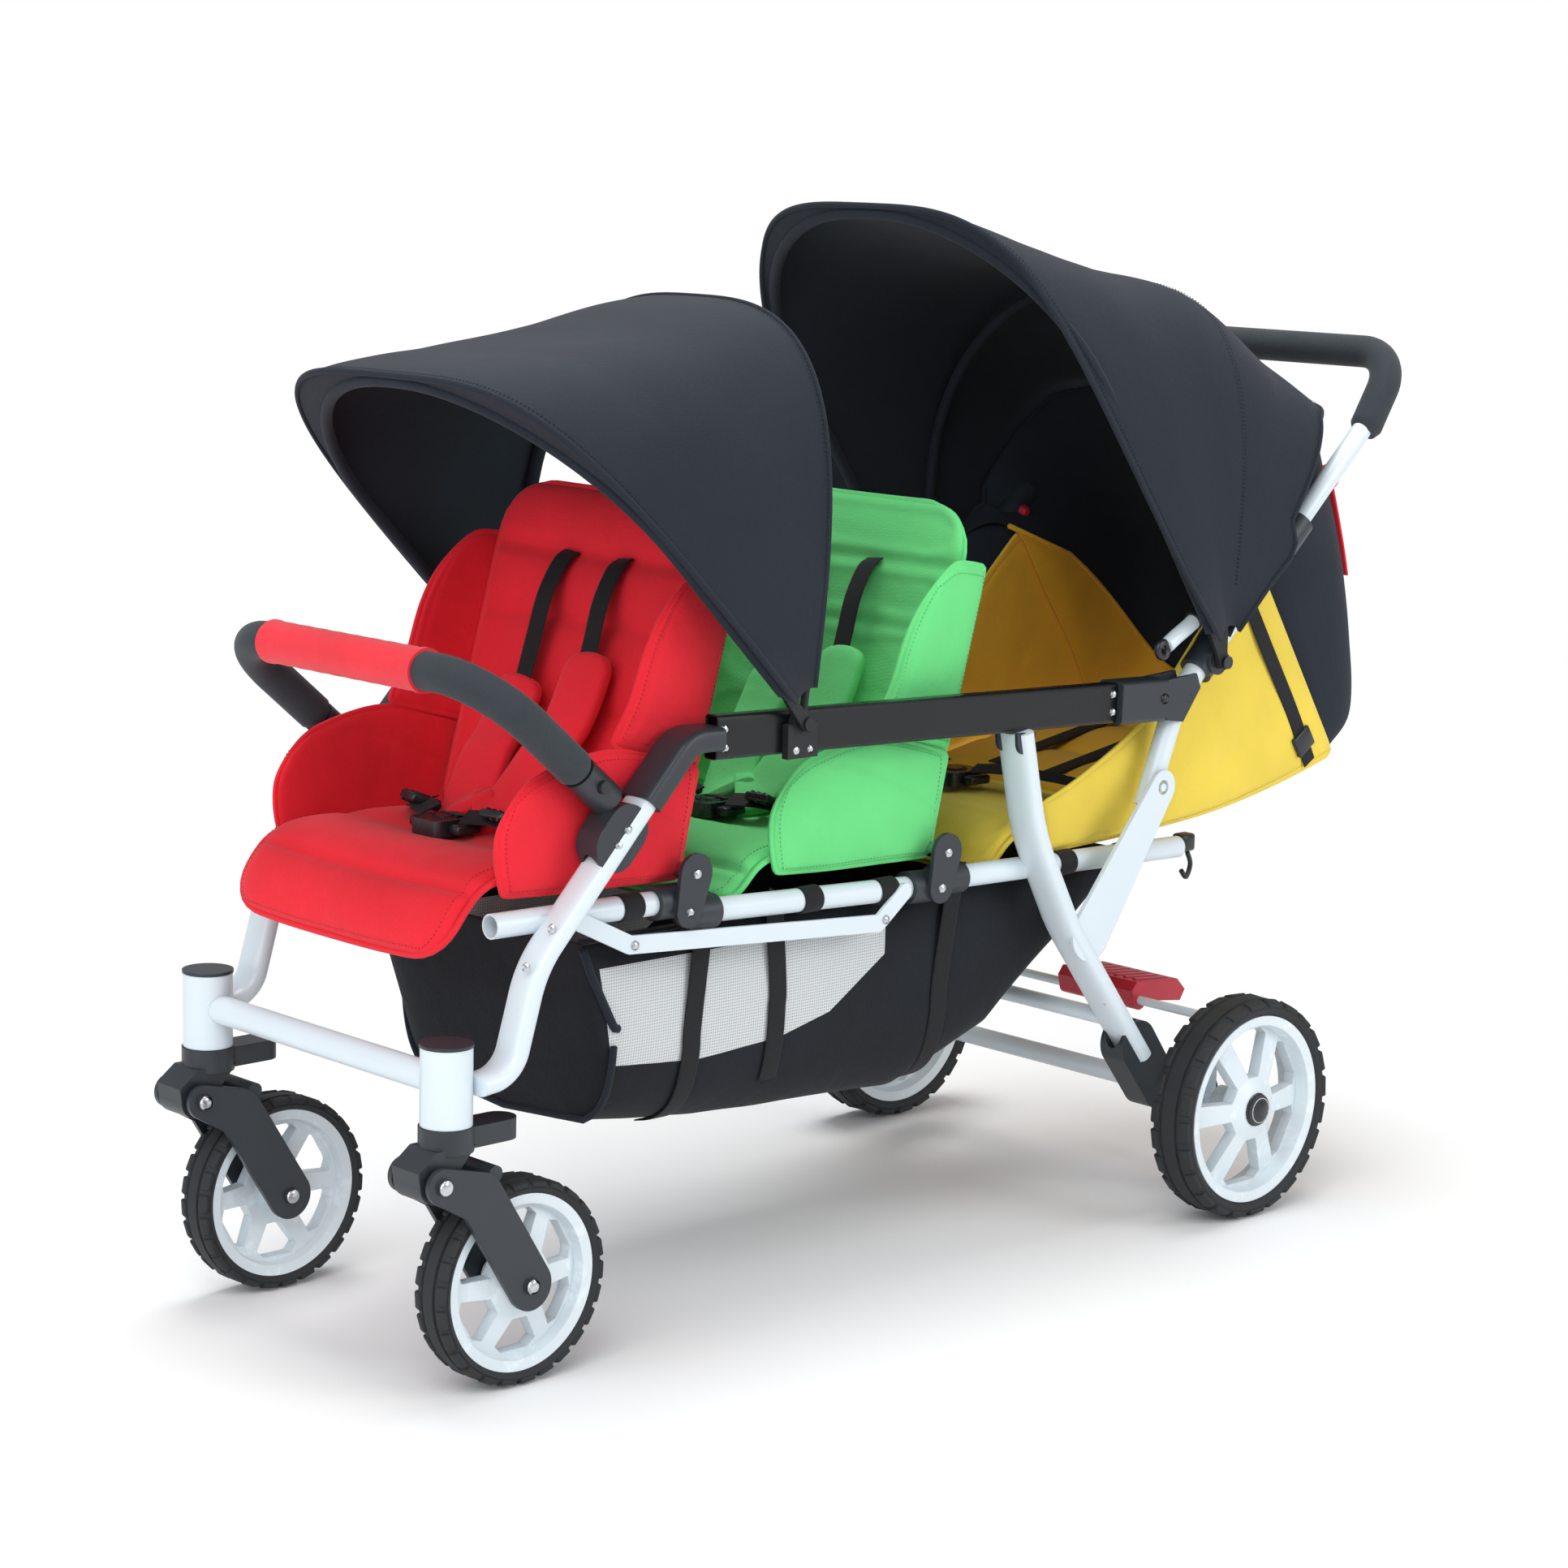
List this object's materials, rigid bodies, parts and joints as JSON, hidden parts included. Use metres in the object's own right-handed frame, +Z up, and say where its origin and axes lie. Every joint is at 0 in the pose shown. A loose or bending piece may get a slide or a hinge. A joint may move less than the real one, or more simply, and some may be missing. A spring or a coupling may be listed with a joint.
{
  "type": "tandem triple stroller",
  "caption": "Tandem stroller with padded seats in line, two folding canopies, a hammock basket, swivel casters, rear brake and a height-adjustable push handle.",
  "frame": {"origin": "centre of the stroller's outline on the floor", "axes": "+Z up, -Y towards the front of the stroller, +X to the stroller's left"},
  "size_m": [0.604, 1.4131, 1.0906],
  "materials": {
    "white_frame": "satin",
    "gloss_black": "gloss",
    "black_cloth": "woven, matt",
    "red_cloth": "woven, matt",
    "green_cloth": "woven, matt",
    "yellow_cloth": "woven, matt",
    "steel": "satin",
    "foam": "foamed, matt",
    "tyre": "matt",
    "white_rim": "satin",
    "red_pedal": "satin",
    "black_plastic": "satin"
  },
  "bodies": {
    "chassis": {"front_legs": "white_frame", "caster_tubes": "white_frame", "caster_caps": "black_plastic", "front_cross_tube": "white_frame", "side_rails": "gloss_black", "rail_elbows": "gloss_black", "rail_ends": "black_plastic", "leg_hangers": "black_plastic", "seat_tubes": "white_frame", "seat_brackets": "black_plastic", "link_bars": "white_frame", "bumper_sockets": "black_plastic", "canopy_rear_bow": "black_plastic", "front_canopy": "black_cloth", "basket": "black_cloth", "front_seat": "red_cloth", "middle_seat": "green_cloth", "rear_seat": "yellow_cloth", "buckles": "black_plastic", "head_panel": "black_cloth"},
    "front_backrest": {"front_back": "red_cloth", "front_back_frame": "steel"},
    "middle_backrest": {"middle_back": "green_cloth", "middle_back_frame": "steel"},
    "rear_backrest": {"rear_back": "yellow_cloth"},
    "rear_frame": {"rear_legs": "white_frame", "rear_brackets": "black_plastic", "rear_axle": "white_frame", "upper_cross_tube": "white_frame"},
    "brake": {"brake_bail": "white_frame", "brake_pedal": "red_pedal"},
    "links": {"fold_links": "white_frame"},
    "handle": {"handle_lower_tubes": "white_frame", "height_collars": "black_plastic", "hood_clamps": "black_plastic", "rear_hood": "black_cloth"},
    "handle_top": {"handle_upper_tube": "white_frame", "handle_grip": "foam"},
    "hood_bow": {"hood_front_bow": "black_plastic"},
    "hood_second_bow": {"hood_middle_bow": "black_plastic"},
    "canopy_bow": {"canopy_front_bow": "black_plastic"},
    "bumper": {"bumper_bar": "steel", "bumper_foam": "foam"},
    "swivel_left": {"caster_head_left": "black_plastic"},
    "fork_left": {"caster_fork_left": "black_plastic"},
    "front_wheel_left": {"front_tyre_left": "tyre", "front_rim_left": "white_rim"},
    "rear_wheel_left": {"rear_tyre_left": "tyre", "rear_rim_left": "white_rim"},
    "release_left": {"bumper_button_left": "black_plastic"},
    "swivel_right": {"caster_head_right": "black_plastic"},
    "fork_right": {"caster_fork_right": "black_plastic"},
    "front_wheel_right": {"front_tyre_right": "tyre", "front_rim_right": "white_rim"},
    "rear_wheel_right": {"rear_tyre_right": "tyre", "rear_rim_right": "white_rim"},
    "release_right": {"bumper_button_right": "black_plastic"},
    "front_release": {"front_buckle_button": "black_plastic"},
    "middle_release": {"middle_buckle_button": "black_plastic"},
    "rear_release": {"rear_buckle_button": "black_plastic"}
  },
  "joints": [
    {"name": "rear_frame_fold", "type": "hinge", "parent": "chassis", "child": "rear_frame", "pos_m": [0, 0.07, 0.55], "axis": [1, 0, 0], "range_deg": [0, 3.2]},
    {"name": "handle_fold", "type": "hinge", "parent": "chassis", "child": "handle", "pos_m": [0, 0.327, 0.574], "axis": [1, 0, 0], "range_deg": [0, 18]},
    {"name": "link_fold", "type": "hinge", "parent": "rear_frame", "child": "links", "pos_m": [0, 0.18, 0.333], "axis": [1, 0, 0], "range_deg": [-10.8, 0]},
    {"name": "handle_height", "type": "slide", "parent": "handle", "child": "handle_top", "axis": [0, 0.7344, 0.6787], "range_m": [-0.06, 0.045]},
    {"name": "hood_fold", "type": "hinge", "parent": "handle", "child": "hood_bow", "pos_m": [0, 0.3676, 0.61136], "axis": [-1, 0, 0], "range_deg": [0, 45], "deforming": ["rear_hood"]},
    {"name": "hood_second_fold", "type": "hinge", "parent": "handle", "child": "hood_second_bow", "pos_m": [0, 0.3676, 0.61136], "axis": [-1, 0, 0], "range_deg": [0, 27], "deforming": ["rear_hood"]},
    {"name": "canopy_fold", "type": "hinge", "parent": "chassis", "child": "canopy_bow", "pos_m": [0, -0.252, 0.6], "axis": [-1, 0, 0], "range_deg": [0, 40], "deforming": ["front_canopy"]},
    {"name": "front_recline", "type": "hinge", "parent": "chassis", "child": "front_backrest", "pos_m": [0, -0.369, 0.462], "axis": [-1, 0, 0], "range_deg": [0, 15]},
    {"name": "middle_recline", "type": "hinge", "parent": "chassis", "child": "middle_backrest", "pos_m": [0, -0.022, 0.442], "axis": [-1, 0, 0], "range_deg": [0, 15]},
    {"name": "rear_recline", "type": "hinge", "parent": "chassis", "child": "rear_backrest", "pos_m": [0, 0.297, 0.464], "axis": [1, 0, 0], "range_deg": [0, 50]},
    {"name": "brake_press", "type": "hinge", "parent": "rear_frame", "child": "brake", "pos_m": [0, 0.382, 0.1226], "axis": [-1, 0, 0], "range_deg": [0, 15]},
    {"name": "bumper_pull", "type": "slide", "parent": "chassis", "child": "bumper", "axis": [0, -0.7627, 0.6468], "range_m": [0, 0.06]},
    {"name": "swivel_left", "type": "hinge", "parent": "chassis", "child": "swivel_left", "pos_m": [0.189, -0.661, 0.262], "axis": [0, 0, 1], "continuous": true},
    {"name": "suspension_left", "type": "hinge", "parent": "swivel_left", "child": "fork_left", "pos_m": [0.189, -0.687, 0.214], "axis": [1, 0, 0], "range_deg": [0, 8], "stiffness_Nm_per_rad": 60, "springref_deg": -11.46},
    {"name": "front_spin_left", "type": "hinge", "parent": "fork_left", "child": "front_wheel_left", "pos_m": [0.189, -0.583, 0.1], "axis": [1, 0, 0], "continuous": true},
    {"name": "rear_spin_left", "type": "hinge", "parent": "rear_frame", "child": "rear_wheel_left", "pos_m": [0.272, 0.382, 0.1226], "axis": [1, 0, 0], "continuous": true},
    {"name": "release_left", "type": "slide", "parent": "chassis", "child": "release_left", "axis": [-1, 0, 0], "range_m": [0, 0.003], "stiffness_N_per_m": 600, "springref_m": -0.002},
    {"name": "swivel_right", "type": "hinge", "parent": "chassis", "child": "swivel_right", "pos_m": [-0.189, -0.661, 0.262], "axis": [0, 0, 1], "continuous": true},
    {"name": "suspension_right", "type": "hinge", "parent": "swivel_right", "child": "fork_right", "pos_m": [-0.189, -0.687, 0.214], "axis": [1, 0, 0], "range_deg": [0, 8], "stiffness_Nm_per_rad": 60, "springref_deg": -11.46},
    {"name": "front_spin_right", "type": "hinge", "parent": "fork_right", "child": "front_wheel_right", "pos_m": [-0.189, -0.583, 0.1], "axis": [1, 0, 0], "continuous": true},
    {"name": "rear_spin_right", "type": "hinge", "parent": "rear_frame", "child": "rear_wheel_right", "pos_m": [-0.272, 0.382, 0.1226], "axis": [1, 0, 0], "continuous": true},
    {"name": "release_right", "type": "slide", "parent": "chassis", "child": "release_right", "axis": [1, 0, 0], "range_m": [0, 0.003], "stiffness_N_per_m": 600, "springref_m": -0.002},
    {"name": "front_buckle_press", "type": "slide", "parent": "chassis", "child": "front_release", "axis": [0, 0, -1], "range_m": [0, 0.003], "stiffness_N_per_m": 600, "springref_m": -0.002},
    {"name": "middle_buckle_press", "type": "slide", "parent": "chassis", "child": "middle_release", "axis": [0, 0, -1], "range_m": [0, 0.003], "stiffness_N_per_m": 600, "springref_m": -0.002},
    {"name": "rear_buckle_press", "type": "slide", "parent": "chassis", "child": "rear_release", "axis": [0, 0, -1], "range_m": [0, 0.003], "stiffness_N_per_m": 600, "springref_m": -0.002}
  ],
  "couplings": [
    {"joint": "handle_fold", "follows": "rear_frame_fold", "ratio": 5.6},
    {"joint": "link_fold", "follows": "rear_frame_fold", "ratio": -3.34},
    {"joint": "hood_second_fold", "follows": "hood_fold", "ratio": 0.6}
  ]
}
